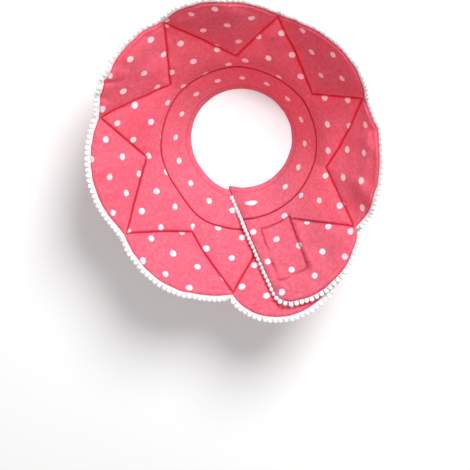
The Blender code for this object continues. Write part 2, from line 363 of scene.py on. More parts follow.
    def edge_turn(self, slant: float) -> float:
        """The turn of the flap's edge, which is a straight line beside the neck's middle from above."""
        offset = self.neck_radius * sin(radians(self.flap_edge_skew))
        rim = self.inner_slant + self.outer_slant + self.lobe_depth
        at_rim = asin(offset / self.profile(rim)[0])
        return self.flap_edge_turn + degrees(at_rim - asin(offset / self.profile(slant)[0]))

    def lobe_slant(self, turn: float) -> float:
        """The slant of the rim at this turn, before the flap's corner is rounded."""
        before, after = self.tooth_at(turn)
        share = (turn - before.outer_turn) / (after.outer_turn - before.outer_turn)
        share = min(1.0, max(0.0, share))
        chord = between(self.outer_point(before), self.outer_point(after), share)
        along = share**after.lobe_skew
        lobe = self.lobe_depth * after.lobe * (4.0 * along * (1.0 - along)) ** after.lobe_power
        wander = self.wander(turn, self.rim_wander, self.rim_wander_turn, 2.5)
        return chord + lobe + self.crease_length + wander

    def rim_slant(self, turn: float) -> float:
        """The slant of the rim at this turn."""
        slant = self.lobe_slant(turn)
        corner = self.flap_corner_radius
        off_edge = self.profile(slant)[0] * radians(turn - self.flap_edge_turn)
        if off_edge >= corner:
            return slant
        inside = corner - max(0.0, off_edge)
        rise = max(0.0, corner**2 - inside**2) ** 0.5
        return slant - (corner - rise)

    def layer_step(self, slant: float) -> float:
        """How far the two layers lie apart across the axis where the flap covers the hidden end."""
        neck_step = self.band_thickness + 3.0 * self.fit
        layers = self.pad_thickness + self.patch_thickness + 2.0 * self.fit
        mouth_step = layers / cos(radians(self.mouth_flare))
        return between(neck_step, mouth_step, smooth(slant / self.inner_slant))

    def layer_offset(self, turn: float, slant: float) -> float:
        """How far the wall lies off the plain cone, across the axis."""
        lift_from, lift_to = self.flap_lift_turns
        drop_from, drop_to = self.under_drop_turns
        lift = 1.0 - smooth((turn - lift_from) / (lift_to - lift_from))
        drop = smooth((turn - drop_from) / (drop_to - drop_from))
        return self.layer_step(slant) * ((1.0 - self.flap_lift_share) * drop - self.flap_lift_share * lift)

    def fold(self, turn: float, slant: float) -> float:
        """How far the wall stands towards the mouth: lobes lean in, and panels are flat between seams."""
        first, last = self.teeth[0].outer_turn, self.teeth[-2].outer_turn
        fade = smooth((turn - first) / self.facet_fade_turn) * smooth((last - turn) / self.facet_fade_turn)
        if fade <= 0.0:
            return 0.0
        before, after = self.tooth_at(turn)
        seam = self.zigzag(turn)
        lean = tan(radians(self.lobe_lean)) * max(0.0, slant - seam)
        inner = after.inner_turn
        if slant > seam:
            rise = min(1.0, (slant - self.inner_slant) / (self.outer_slant * after.outer_reach))
            left = between(inner, before.outer_turn, rise)
            right = between(inner, after.outer_turn, rise)
            reach = 1.0
        else:
            centre = before if turn < inner else after
            place = self.teeth.index(centre)
            rise = max(0.0, (slant - self.inner_slant) / (self.outer_slant * centre.outer_reach))
            left = between(centre.inner_turn, centre.outer_turn, rise)
            right = between(self.teeth[place + 1].inner_turn, centre.outer_turn, rise)
            reach = smooth(slant / self.inner_slant) ** 2
        half = radians(right - left) / 2.0
        off = radians(turn - (left + right) / 2.0)
        sag = self.profile(slant)[0] * max(0.0, 1.0 - cos(half) / cos(off))
        return fade * (lean + self.facet_share * reach * sag)

    def softness(self, turn: float, slant: float) -> float:
        """How far the soft wall strays from its plain form, towards the mouth. Both layers stray alike."""
        radius, height = self.profile(slant)
        angle = radians(turn)
        place = Vector((radius * cos(angle), radius * sin(angle), height))
        grip = smooth((slant - self.neck_edge_blend) / self.inner_slant)
        stray = self.ripple * noise.noise(place / self.ripple_length)
        stray += self.small_ripple * noise.noise(place / self.small_ripple_length)
        near_rim = smooth((slant - self.inner_slant) / self.outer_slant)
        gathers = Vector((*place.xy / self.gather_width, slant / self.gather_length))
        stray += self.gather * near_rim * noise.noise(gathers)
        for wrinkle in self.wrinkles:
            across = radians(turn - wrinkle.turn) * radius
            if abs(across) > self.wrinkle_reach:
                continue
            along = slant - wrinkle.slant
            across -= along * wrinkle.lean
            stray += wrinkle.depth * bell(across, wrinkle.half_width) * bell(along, wrinkle.half_length)
        return stray * grip

    def point(self, turn: float, slant: float, forward: float) -> Vector:
        """A point of the wall.

        Args:
            turn: Degrees round the neck's axis.
            slant: Distance up the wall from the neck edge.
            forward: Distance off the wall's middle surface, towards the mouth.

        Returns:
            The point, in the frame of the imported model.
        """
        radius, height = self.profile(slant)
        radius += self.layer_offset(turn, slant)
        tilt = self.flare(slant) * smooth(slant / self.neck_edge_blend)
        ahead = forward + self.fold(turn, slant) + self.softness(turn, slant)
        radius -= ahead * cos(tilt)
        height += ahead * sin(tilt)
        return self.round_axis(turn, radius, height)

    def round_axis(self, turn: float, radius: float, height: float) -> Vector:
        """The point at this turn, radius and height round the neck's axis."""
        angle = radians(turn)
        return Vector((self.axis_x + radius * cos(angle), self.axis_y + radius * sin(angle), height))

    def skewed(self, turn: float, slant: float) -> float:
        """The turn moved round so that the wall's first column follows the flap's askew edge."""
        span = self.teeth[0].inner_turn - self.flap_edge_turn
        fade = max(0.0, 1.0 - (turn - self.flap_edge_turn) / span)
        return turn + (self.edge_turn(slant) - self.flap_edge_turn) * fade

    def turns(self, per_seam: int, at_corner: int) -> list[float]:
        """The turns of the wall's columns, with one at each point of the zigzag.

        Args:
            per_seam: Columns between two points of the zigzag.
            at_corner: Columns round the flap's corner.

        Returns:
            The turns, from the flap's edge to the hidden end.
        """
        radius = self.profile(self.lobe_slant(self.flap_edge_turn))[0]
        corner = degrees(self.flap_corner_radius / radius)
        turns = []
        for step in range(at_corner):
            turns.append(self.flap_edge_turn + corner * (1.0 - cos(pi / 2.0 * step / at_corner)))
        stops = [self.flap_edge_turn + corner]
        for tooth in self.teeth:
            stops += [tooth.inner_turn, min(tooth.outer_turn, self.hidden_end_turn)]
        if stops[-1] < self.hidden_end_turn:
            stops.append(self.hidden_end_turn)
        for first, last in zip(stops, stops[1:]):
            steps = per_seam if last - first > self.short_span else 2
            for step in range(steps):
                turns.append(between(first, last, step / steps))
        return turns + [self.hidden_end_turn]


@dataclass(frozen=True)
class Patch:
    """The hook-and-loop patch's size and place, and its rows of stitching."""

    width: float = 0.034
    length: float = 0.060
    turn: float = -63.5
    set_back: float = 0.004
    stitch_inset: float = 0.0015

    def start(self, wall: Wall) -> float:
        """The slant of the patch's lower end."""
        return wall.inner_slant - self.set_back

    def place(self, wall: Wall, across: float, along: float) -> tuple[float, float]:
        """The turn and slant of a point of the patch, given in metres from the middle of its lower end."""
        slant = self.start(wall) + along
        return self.turn + degrees(across / wall.profile(slant)[0]), slant

    def to_stitching(self, wall: Wall, turn: float, slant: float) -> float:
        """The distance from the rectangle of stitching, which is less than 0 inside it."""
        across = abs(radians(turn - self.turn) * wall.profile(slant)[0])
        along = slant - self.start(wall) - self.length / 2.0
        beyond_side = across - (self.width / 2.0 - self.stitch_inset)
        beyond_end = abs(along) - (self.length / 2.0 - self.stitch_inset)
        if beyond_side > 0.0 and beyond_end > 0.0:
            return hypot(beyond_side, beyond_end)
        return max(beyond_side, beyond_end)


class Bench:
    """Lays out the nodes of one material."""

    def __init__(self, name: str, displays: Colour) -> None:
        """Starts a material.

        Args:
            name: The material's name.
            displays: Its colour in a plain viewport.
        """
        self.material = bpy.data.materials.new(name)
        self.material.use_nodes = True
        self.material.diffuse_color = (*displays, 1.0)
        self.tree = self.material.node_tree
        self.shader = self.tree.nodes["Principled BSDF"]

    def dressed(self, inputs: dict[str, object]) -> Material:
        """The material, with these sockets or plain values at its shader's inputs."""
        for name, value in inputs.items():
            self.feed(self.shader.inputs[name], value)
        return self.material

    def node(self, kind: str, inputs: dict[str | int, object] | None = None, **settings: object) -> Node:
        """Adds a node.

        Args:
            kind: The node's type name.
            inputs: Values or sockets for its inputs.
            settings: Its other settings.

        Returns:
            The node.
        """
        made = self.tree.nodes.new(kind)
        for name, value in settings.items():
            setattr(made, name, value)
        for name, value in (inputs or {}).items():
            self.feed(made.inputs[name], value)
        return made

    def feed(self, socket: NodeSocket, value: object) -> None:
        """Links a socket to an input, or sets the input to a number or colour."""
        if isinstance(value, NodeSocket):
            self.tree.links.new(value, socket)
        else:
            socket.default_value = value

    def math(self, operation: str, first: object, second: object = 0.0, third: object = 0.0) -> NodeSocket:
        """The result of a Math node."""
        return self.node("ShaderNodeMath", {0: first, 1: second, 2: third}, operation=operation).outputs[0]

    def vector(self, operation: str, first: object, second: object = (0.0, 0.0, 0.0)) -> NodeSocket:
        """The vector result of a Vector Math node."""
        return self.node("ShaderNodeVectorMath", {0: first, 1: second}, operation=operation).outputs[0]

    def length(self, vector: object) -> NodeSocket:
        """The length of a vector."""
        return self.node("ShaderNodeVectorMath", {0: vector}, operation="LENGTH").outputs["Value"]

    def scaled(self, vector: object, factor: float) -> NodeSocket:
        """A vector times a number."""
        return self.vector("MULTIPLY", vector, (factor, factor, factor))

    def jitter(self, colour: NodeSocket, reach: float) -> NodeSocket:
        """A random colour as a shift to either side, of up to half the reach."""
        return self.scaled(self.vector("SUBTRACT", colour, (0.5, 0.5, 0.5)), reach)

    def lumps(self, vector: object, size: float, detail: float = 2.0, roughness: float = 0.5,
              output: str = "Fac") -> NodeSocket:
        """A Noise Texture whose lumps are about this size, in metres."""
        inputs = {"Vector": vector, "Scale": 1.0 / size, "Detail": detail, "Roughness": roughness}
        return self.node("ShaderNodeTexNoise", inputs).outputs[output]

    def graded(self, value: object, start: float, end: float, low: float = 0.0, high: float = 1.0,
               soft: bool = False) -> NodeSocket:
        """A value mapped from start..end to low..high and held there.

        Args:
            value: What is mapped.
            start: The value that becomes low.
            end: The value that becomes high.
            low: The result at start.
            high: The result at end.
            soft: Whether the ends are rounded off.

        Returns:
            The mapped value.
        """
        inputs = {"Value": value, "From Min": start, "From Max": end, "To Min": low, "To Max": high}
        kind = "SMOOTHSTEP" if soft else "LINEAR"
        return self.node("ShaderNodeMapRange", inputs, interpolation_type=kind).outputs["Result"]

    def mixed(self, factor: object, first: Colour | NodeSocket, second: Colour | NodeSocket) -> NodeSocket:
        """Two colours mixed."""
        mix = self.node("ShaderNodeMix", {"Factor": factor}, data_type="RGBA")
        for socket, colour in zip(mix.inputs[6:8], (first, second)):
            self.feed(socket, (*colour, 1.0) if isinstance(colour, tuple) else colour)
        return mix.outputs[2]

    def bumped(self, height: object, distance: float, strength: float = 1.0,
               under: NodeSocket | None = None) -> NodeSocket:
        """A normal bumped by a height that is given in shares of a distance."""
        inputs: dict[str | int, object] = {"Height": height, "Distance": distance, "Strength": strength}
        if under is not None:
            inputs["Normal"] = under
        return self.node("ShaderNodeBump", inputs).outputs["Normal"]


@dataclass(frozen=True)
class SpottedCotton:
    """Matt plain-weave cotton, printed all over with white spots."""

    name: str = "spotted_cotton"
    colour: Colour = (0.665, 0.115, 0.178)
    pale: Colour = (0.760, 0.205, 0.270)
    deep: Colour = (0.430, 0.025, 0.065)
    # Painted shade: the deep crimson the cloth darkens to in the creases of its seams, along the patch's
    # stitching and, as a painted shadow, at its edges by the tape.
    seam: Colour = (0.440, 0.002, 0.030)
    spot: Colour = (0.930, 0.740, 0.775)
    spot_radius: float = 0.0030
    spot_spread: float = 0.07
    spot_edge: float = 0.00030
    spot_pitch: tuple[float, float, float] = (0.0240, 0.0250, 1.0)
    spot_stray: float = 0.0012
    spot_ragged: float = 0.0011
    ragged_size: float = 0.0022
    thread: float = 0.00042
    thread_relief: float = 0.00012
    wobble_size: float = 0.0009
    mottle_size: float = 0.0028
    cloud_size: float = 0.022
    rumple_size: float = 0.0070
    rumple_relief: float = 0.0016
    roughness: float = 0.86
    sheen: float = 0.10
    sheen_roughness: float = 0.45
    specular: float = 0.25
    glow: float = 0.85
    glow_colour: Colour = (1.0, 0.05, 0.08)
    glow_depth: float = 0.012

    def material(self) -> Material:
        """Makes the material."""
        bench = Bench(self.name, self.colour)
        flat = bench.node("ShaderNodeUVMap", uv_map=PRINT_MAP).outputs["UV"]
        solid = bench.node("ShaderNodeTexCoord").outputs["Object"]
        wobble = bench.jitter(bench.lumps(flat, self.wobble_size, 1.0, output="Color"), self.thread * 0.9)
        weave = self.weave(bench, bench.vector("ADD", flat, wobble))
        slubs = self.slubs(bench, flat)
        mottle = bench.lumps(solid, self.mottle_size, 4.0, 0.66)
        cloud = bench.lumps(solid, self.cloud_size)
        painted_shade = bench.node("ShaderNodeAttribute", attribute_name=PAINTED_SHADE_MAP).outputs["Fac"]
        tone = bench.mixed(bench.graded(mottle, 0.36, 0.65), self.colour, self.pale)
        tone = bench.mixed(bench.graded(cloud, 0.35, 0.65, 0.0, 0.30), tone, self.colour)
        tone = bench.mixed(bench.graded(slubs, 0.40, 0.75, 0.0, 0.28), tone, self.pale)
        tone = bench.mixed(bench.graded(weave, 0.0, 0.5, 0.22, 0.0), tone, self.deep)
        tone = bench.mixed(self.spots(bench, flat, weave), tone, self.spot)
        # Painted shade: darkens the cloth towards the seam colour by the vertex attribute of painted shade, in
        # creases and at edges.
        tone = bench.mixed(bench.graded(painted_shade, 0.12, 0.70, 0.0, 0.94), tone, self.seam)
        rumpled = bench.bumped(bench.lumps(solid, self.rumple_size, 4.0, 0.60), self.rumple_relief, 0.70)
        threads = bench.math("ADD", weave, bench.math("MULTIPLY", slubs, 0.8))
        return bench.dressed({
            "Base Color": tone,
            "Roughness": bench.graded(mottle, 0.3, 0.7, self.roughness - 0.05, self.roughness + 0.06),
            "Sheen Weight": self.sheen,
            "Sheen Roughness": self.sheen_roughness,
            "Specular IOR Level": self.specular,
            "Subsurface Weight": self.glow,
            "Subsurface Radius": self.glow_colour,
            "Subsurface Scale": self.glow_depth,
            "Normal": bench.bumped(threads, self.thread_relief, 0.7, rumpled),
        })

    def weave(self, bench: Bench, wavy: NodeSocket) -> NodeSocket:
        """The height of the threads, over and under, from 0 to 1."""
        apart = bench.node("ShaderNodeSeparateXYZ", {0: wavy})
        across = bench.math("SINE", bench.math("MULTIPLY", apart.outputs["X"], pi / self.thread))
        along = bench.math("SINE", bench.math("MULTIPLY", apart.outputs["Y"], pi / self.thread))
        crossed = bench.math("MULTIPLY", across, along)
        ridge = bench.math("MAXIMUM", bench.math("ABSOLUTE", across), bench.math("ABSOLUTE", along))
        return bench.math("MULTIPLY_ADD", crossed, 0.35, bench.math("MULTIPLY", ridge, 0.62))

    def slubs(self, bench: Bench, flat: NodeSocket) -> NodeSocket:
        """Thicker stretches of single threads, both ways of the weave."""
        ways = ((0.10, 1.0, 1.0), (1.0, 0.10, 1.0))
        drawn = [bench.lumps(bench.vector("MULTIPLY", flat, way), self.thread * 2.2, 1.0) for way in ways]
        return bench.math("MAXIMUM", *drawn)

    def spots(self, bench: Bench, flat: NodeSocket, weave: NodeSocket) -> NodeSocket:
        """The share of white print: round spots in rows, a little uneven at their edges."""
        half = (0.5, 0.5, 0.5)
        centred = bench.vector("ADD", bench.vector("DIVIDE", flat, self.spot_pitch), half)
        number = bench.vector("FLOOR", centred)
        off = bench.vector("SUBTRACT", bench.vector("FRACTION", centred), half)
        off = bench.vector("MULTIPLY", off, self.spot_pitch)
        chance = bench.node("ShaderNodeTexWhiteNoise", {"Vector": number}, noise_dimensions="3D")
        off = bench.vector("ADD", off, bench.jitter(chance.outputs["Color"], self.spot_stray))
        ragged = bench.lumps(flat, self.ragged_size, output="Color")
        off = bench.vector("ADD", off, bench.jitter(ragged, self.spot_ragged))
        distance = bench.length(bench.vector("MULTIPLY", off, (1.0, 1.0, 0.0)))
        spread = self.spot_radius * self.spot_spread
        size = bench.graded(chance.outputs["Value"], 0.0, 1.0, self.spot_radius - spread,
                            self.spot_radius + spread)
        edge = bench.math("SUBTRACT", size, distance)
        share = bench.graded(edge, -self.spot_edge, self.spot_edge, 0.0, 0.97, soft=True)
        return bench.math("MULTIPLY", share, bench.graded(weave, 0.0, 0.45, 0.86, 1.0))


@dataclass(frozen=True)
class Thread:
    """Sewing thread, twisted and a little shiny."""

    name: str = "coral_thread"
    colour: Colour = (0.72, 0.060, 0.120)
    dark: Colour = (0.52, 0.022, 0.060)
    roughness: float = 0.6
    sheen: float = 0.15
    twist_size: float = 0.00035
    twist_relief: float = 0.00010

    def material(self) -> Material:
        """Makes the material."""
        bench = Bench(self.name, self.colour)
        solid = bench.node("ShaderNodeTexCoord").outputs["Object"]
        twist = bench.lumps(solid, self.twist_size)
        return bench.dressed({
            "Base Color": bench.mixed(bench.graded(twist, 0.35, 0.65), self.dark, self.colour),
            "Roughness": bench.graded(twist, 0.3, 0.7, self.roughness, self.roughness + 0.2),
            "Sheen Weight": self.sheen,
            "Normal": bench.bumped(twist, self.twist_relief, 0.8),
        })


@dataclass(frozen=True)
class FluffyCotton:
    """White brushed cotton, for the tape and the pompoms. The tape's is ribbed along its print map."""

    name: str
    colour: Colour = (0.970, 0.965, 0.960)
    shade: Colour = (0.890, 0.880, 0.875)
    fibre: float = 0.00045
    rib_pitch: float = 0.0
    relief: float = 0.00030
    sheen: float = 0.35
    sheen_roughness: float = 0.6
    specular: float = 0.2
    glow: float = 0.9
    glow_depth: float = 0.005

    def material(self) -> Material:
        """Makes the material."""
        bench = Bench(self.name, self.colour)
        solid = bench.node("ShaderNodeTexCoord").outputs["Object"]
        tufts = bench.lumps(solid, self.fibre * 2.4, 4.0, 0.7)
        fibres = bench.node("ShaderNodeTexVoronoi", {"Vector": solid, "Scale": 1.0 / self.fibre})
        height = bench.math("MULTIPLY", fibres.outputs["Distance"], 0.5)
        height = bench.math("MULTIPLY_ADD", tufts, 1.4, height)
        if self.rib_pitch > 0.0:
            flat = bench.node("ShaderNodeUVMap", uv_map=PRINT_MAP).outputs["UV"]
            along = bench.node("ShaderNodeSeparateXYZ", {0: flat}).outputs["X"]
            ribs = bench.math("SINE", bench.math("MULTIPLY", along, 2.0 * pi / self.rib_pitch))
            height = bench.math("MULTIPLY_ADD", ribs, 0.45, height)
        return bench.dressed({
            "Base Color": bench.mixed(bench.graded(tufts, 0.30, 0.58), self.shade, self.colour),
            "Roughness": bench.graded(tufts, 0.2, 0.8, 0.9, 1.0),
            "Sheen Weight": self.sheen,
            "Sheen Roughness": self.sheen_roughness,
            "Specular IOR Level": self.specular,
            "Subsurface Weight": self.glow,
            "Subsurface Radius": (1.0, 1.0, 1.0),
            "Subsurface Scale": self.glow_depth,
            "Normal": bench.bumped(height, self.relief, 0.9),
        })


@dataclass(frozen=True)
class HookAndLoop:
    """The pale, dense pile of a hook-and-loop closure."""

    name: str = "hook_and_loop_pile"
    colour: Colour = (0.720, 0.700, 0.680)
    shade: Colour = (0.420, 0.400, 0.390)
    sheen: float = 0.2
    loop: float = 0.0008
    relief: float = 0.0005

    def material(self) -> Material:
        """Makes the material."""
        bench = Bench(self.name, self.colour)
        solid = bench.node("ShaderNodeTexCoord").outputs["Object"]
        loops = bench.node("ShaderNodeTexVoronoi", {"Vector": solid, "Scale": 1.0 / self.loop})
        fuzz = bench.lumps(solid, self.loop * 1.5, 4.0, 0.7)
        depth = bench.math("MULTIPLY", loops.outputs["Distance"], fuzz)
        return bench.dressed({
            "Base Color": bench.mixed(bench.graded(depth, 0.10, 0.40), self.colour, self.shade),
            "Roughness": bench.graded(fuzz, 0.2, 0.8, 0.7, 0.95),
            "Sheen Weight": self.sheen,
            "Normal": bench.bumped(depth, self.relief, 0.9),
        })


class Corner(NamedTuple):
    """One vertex of a wall's grid."""

    column: int
    row: int
    side: Side


class WallMesh:
    """A closed wall on a grid of columns and rows, with a face at the mouth's side and one behind."""

    def __init__(self, columns: int, rows: int) -> None:
        """Makes the grid and its second face.

        Args:
            columns: Steps along the wall.
            rows: Steps up it.
        """
        self.bm = bmesh.new()
        column_of = self.bm.verts.layers.int.new("column")
        row_of = self.bm.verts.layers.int.new("row")
        side_of = self.bm.verts.layers.int.new("side")
        bmesh.ops.create_grid(self.bm, x_segments=columns, y_segments=rows, size=1.0)
        for vertex in self.bm.verts:
            vertex[column_of] = round((vertex.co.x + 1.0) / 2.0 * columns)
            vertex[row_of] = round((vertex.co.y + 1.0) / 2.0 * rows)
            vertex[side_of] = Side.MOUTH
        extruded = bmesh.ops.extrude_face_region(self.bm, geom=self.bm.faces[:])
        for item in extruded["geom"]:
            if isinstance(item, BMVert):
                item[side_of] = Side.BEHIND
        self.layers = (column_of, row_of, side_of)

    def corner(self, vertex: BMVert) -> Corner:
        """The column, row and side of a vertex."""
        column, row, side = (vertex[layer] for layer in self.layers)
        return Corner(column, row, Side(side))

    def shape(self, place: Callable[[Corner], Vector]) -> None:
        """Puts each vertex in its place."""
        for vertex in self.bm.verts:
            vertex.co = place(self.corner(vertex))

    def painted_shade(self, darkness: Callable[[Corner], float]) -> None:
        """Writes how much painted shade each vertex gets in the creases and at the edges, up to 1."""
        shade_of = self.bm.verts.layers.float.new(PAINTED_SHADE_MAP)
        for vertex in self.bm.verts:
            vertex[shade_of] = min(1.0, darkness(self.corner(vertex)))

    def print_map(self, place: Callable[[Corner, float, float, Side], tuple[float, float]]) -> None:
        """Writes the print's map.

        Args:
            place: Gives a corner's place in the print from the corner, the middle column and row of its
                face, and the face's side.
        """
        uv = self.bm.loops.layers.uv.new(PRINT_MAP)
        for face in self.bm.faces:
            corners = [self.corner(loop.vert) for loop in face.loops]
            middle_column = sum(corner.column for corner in corners) / len(corners)
            middle_row = sum(corner.row for corner in corners) / len(corners)
            side = Side.MOUTH if sum(corner.side for corner in corners) > 0 else Side.BEHIND
            for loop, corner in zip(face.loops, corners):
                loop[uv].uv = place(corner, middle_column, middle_row, side)


def finished(name: str, bm: BMesh, material: Material) -> Object:
    """Makes a mesh's object, smooth and with its faces outward.

    Args:
        name: The piece's name.
        bm: Its mesh, which is freed.
        material: Its finish.

    Returns:
        The object.
    """
    bmesh.ops.recalc_face_normals(bm, faces=bm.faces[:])
    mesh = bpy.data.meshes.new(name)
    bm.to_mesh(mesh)
    bm.free()
    mesh.materials.append(material)
    mesh.shade_smooth()
    piece = bpy.data.objects.new(name, mesh)
    bpy.context.scene.collection.objects.link(piece)
    return piece


def dressed(name: str, bm: BMesh, material: Material, slot: Slot) -> Object:
    """Makes a mesh a piece that rides on the cone.

    Args:
        name: The piece's name.
        bm: Its mesh, which is freed.
        material: Its finish.
        slot: The record's slot that the finish stands for; not used.

    Returns:
        The piece.
    """
    piece = finished(name, bm, material)
    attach(piece, BODY)
    LOG.info("%s: %d faces", piece.name, len(piece.data.polygons))
    return piece


class Repeats:
    """Many copies of one small shape, joined into one mesh."""

    def __init__(self, name: str, shape: BMesh) -> None:
        """Keeps the shape, which is freed, and starts an empty mesh."""
        self.single = bpy.data.meshes.new(name)
        shape.to_mesh(self.single)
        shape.free()
        self.joined = bmesh.new()

    def add(self, turned: Matrix, middle: Vector, swell: Callable[[Vector], float] | None = None) -> None:
        """Adds a copy.

        Args:
            turned: How the copy is turned and sized.
            middle: Where it then goes.
            swell: How many times further out than before each of its points lies.
        """
        copy = self.single.copy()
        copy.transform(turned)
        if swell is not None:
            for vertex in copy.vertices:
                vertex.co *= swell(vertex.co)
        copy.transform(Matrix.Translation(middle))
        self.joined.from_mesh(copy)
        bpy.data.meshes.remove(copy)

    def taken(self) -> BMesh:
        """The joined mesh, once the single shape is removed."""
        bpy.data.meshes.remove(self.single)
        return self.joined


@dataclass
class QuiltedPanel:
    """The padded panel of spotted cotton, quilted by the zigzag seam.

    Its cuts say how the print lies on the flap, on each triangle between the zigzag and the rim, and on each one
    between the zigzag and the neck band, counted from the flap.
    """

    wall: Wall
    patch: Patch
    per_seam: int = 30
    at_corner: int = 8
    rows_below: int = 24
    rows_above: int = 46
    notch_depth: float = 0.00050
    notch_width: float = 0.0009
    # Painted shade in the seams' creases: how far it reaches. Painted shadow at the rim's and the flap's edge by
    # the tape: its strength and reach.
    crease_shade_width: float = 0.0010
    edge_shadow: float = 0.62
    edge_shadow_width: float = 0.0008
    edge_roll: float = 0.0008
    edge_roll_inset: float = 0.0026
    edge_roll_width: float = 0.0014
    pucker: float = 0.00040
    pucker_length: float = 0.0055
    pucker_reach: float = 0.0060
    pucker_row: float = 3.7
    slope_step: float = 0.05
    least_slope_share: float = 0.3
    patch_press: float = 0.55
    patch_seam_press: float = 0.90
    patch_seam_reach: float = 0.0030
    patch_notch: float = 1.7
    # Painted shade along the patch's stitching.
    patch_stitch_shade: float = 0.95
    patch_far_side: float = 0.75
    patch_swell: float = 0.0010
    patch_swell_reach: float = 0.0050
    least_edge: float = 0.12
    # Painted shade along the band's seam.
    band_seam_shade: float = 0.8
    fill: float = 0.5
    hidden_cut: Cut = Cut(5.0, 9.0, 0.0)
    behind_shift: tuple[float, float] = (7.0, 3.0)
    cuts: dict[str, Cut] = field(
        default_factory=lambda: {
            "flap": Cut(3.5, 19.5, 2.0, 1.05, 0.96),
            "rim1": Cut(12.0, 23.5, 3.0, 1.05, 1.05),
            "rim2": Cut(1.0, 25.5, 0.0, 1.0, 1.05),
            "rim3": Cut(2.0, 24.0, -2.0, 1.0, 1.05),
            "rim4": Cut(15.5, 16.5, 1.0, 1.05, 1.05),
            "rim5": Cut(12.0, 15.5, -1.0, 1.0, 1.05),
            "rim6": Cut(23.0, 17.0, 7.0),
            "rim7": Cut(3.0, 6.0, 0.0),
            "neck0": Cut(18.5, 0.5, 0.0),
            "neck1": Cut(14.0, 2.0, -1.0, 1.05, 1.05),
            "neck2": Cut(0.5, 24.5, 0.0),
            "neck3": Cut(6.0, 24.0, 0.0),
            "neck4": Cut(9.0, 22.0, 0.0),
            "neck5": Cut(10.0, 21.5, 0.0),
            "neck6": Cut(22.0, 6.5, 3.0, 1.0, 0.96),
        }
    )

    def __post_init__(self) -> None:
        """Works out the grid's turns and shares."""
        self.turns = self.wall.turns(self.per_seam, self.at_corner)
        below = [(share, 0.0) for share in crowded(self.rows_below)]
        above = [(1.0, share) for share in crowded(self.rows_above)[1:]]
        self.shares = below + above

    def slants(self, turn: float) -> tuple[float, float, float]:
        """The slants of the band's seam, the zigzag seam and the rim at a turn."""
        rim = self.wall.rim_slant(turn)
        seam = min(self.wall.zigzag(turn), rim - self.wall.crease_length)
        return self.wall.band_width + self.wall.fit / 2.0, seam, rim

    def place(self, corner: Corner) -> tuple[float, float]:
        """The turn and slant of a corner of the grid, before the flap's edge is skewed."""
        turn = self.turns[corner.column]
        band, seam, rim = self.slants(turn)
        below, above = self.shares[corner.row]
        return turn, between(between(band, seam, below), rim, above)

    def seam_frame(self, turn: float, slant: float) -> tuple[float, float]:
        """Where a point lies against the zigzag seam.

        Args:
            turn: The point's turn.
            slant: The point's slant.

        Returns:
            Its distance from the seam, which is far off on the flap, and how far along the seam it lies.
        """
        seam = self.wall.zigzag(turn)
        step = self.slope_step
        rise = (self.wall.zigzag(turn + step) - self.wall.zigzag(turn - step)) / 2.0
        steepness = atan2(rise, self.wall.profile(slant)[0] * radians(step))
        past = slant - seam
        along = radians(turn) * self.wall.profile(seam)[0] / max(self.least_slope_share, cos(steepness))
        to_seam = self.wall.outer_slant if self.on_flap(turn) else abs(past) * cos(steepness)
        return to_seam, along + past * sin(steepness)

    def on_flap(self, turn: float) -> bool:
        """Whether a turn lies on the flap, before the zigzag starts."""
        return turn < self.wall.teeth[0].inner_turn

    def over_patch(self, turn: float, side: Side) -> bool:
        """Whether the patch's stitching can show at this turn of this face."""
        return side is Side.MOUTH and turn < self.wall.teeth[0].outer_turn

    def to_patch(self, turn: float, slant: float) -> tuple[float, float]:
        """The distance from the patch's stitching, less than 0 inside it, and how hard it pulls there."""
        moved = self.wall.skewed(turn, slant)
        half = degrees(self.patch.width / 2.0 / self.wall.profile(self.wall.inner_slant)[0])
        pulled = between(self.patch_far_side, 1.0, smooth((moved - self.patch.turn) / half))
        return self.patch.to_stitching(self.wall, moved, slant), pulled

    def edge_distance(self, turn: float, slant: float) -> float:
        """The distance to the flap's straight edge."""
        return self.wall.profile(slant)[0] * radians(turn - self.wall.flap_edge_turn)

    def half_thickness(self, turn: float, slant: float, side: Side) -> float:
        """Half the panel's thickness: pinched at seams and edges, full between, puckered beside seams."""
        wall = self.wall
        to_seam, along = self.seam_frame(turn, slant)
        to_rim = max(0.0, wall.rim_slant(turn) - slant)
        to_band = max(0.0, slant - wall.band_width)
        to_edge = max(0.0, self.edge_distance(turn, slant))
        fill = 1.0
        for distance in (to_seam, to_rim, to_band, to_edge):
            fill *= 1.0 - exp(-distance / wall.puff_length)
        notch = self.notch_depth * (bell(to_seam, self.notch_width) + bell(to_band, self.notch_width))
        if self.over_patch(turn, side):
            to_patch, pulled = self.to_patch(turn, slant)
            fill *= 1.0 - self.patch_seam_press * exp(-abs(to_patch) / self.patch_seam_reach)
            if to_patch < 0.0:
                fill *= between(1.0, self.patch_press, smooth(-to_patch / self.patch_seam_reach))
            notch += self.notch_depth * self.patch_notch * pulled * bell(to_patch, self.notch_width)
            swell = self.patch_swell * bell(to_patch - self.patch_swell_reach, self.patch_seam_reach)
            notch -= swell * (1.0 - exp(-min(to_rim, to_edge) / wall.puff_length))
        half = between(wall.seam_thickness, wall.pad_thickness, fill) / 2.0
        near = exp(-to_seam / self.pucker_reach) * (1.0 - exp(-to_seam / self.notch_width))
        ridges = noise.noise(Vector((along / self.pucker_length, self.pucker_row * side, 0.0)))
        half += self.pucker * near * ridges - notch
        half += self.edge_roll * bell(to_rim - self.edge_roll_inset, self.edge_roll_width)
        round_off = wall.seam_thickness / 2.0
        for distance in (to_rim, to_edge):
            if distance < round_off:
                half *= rounded(distance, round_off, self.least_edge)
        return half

    def surface(self, turn: float, slant: float, side: Side, lift: float = 0.0) -> Vector:
        """A point of the panel's face, or this far off it."""
        moved = self.wall.skewed(turn, slant)
        return self.wall.point(moved, slant, side * (self.half_thickness(turn, slant, side) + lift))

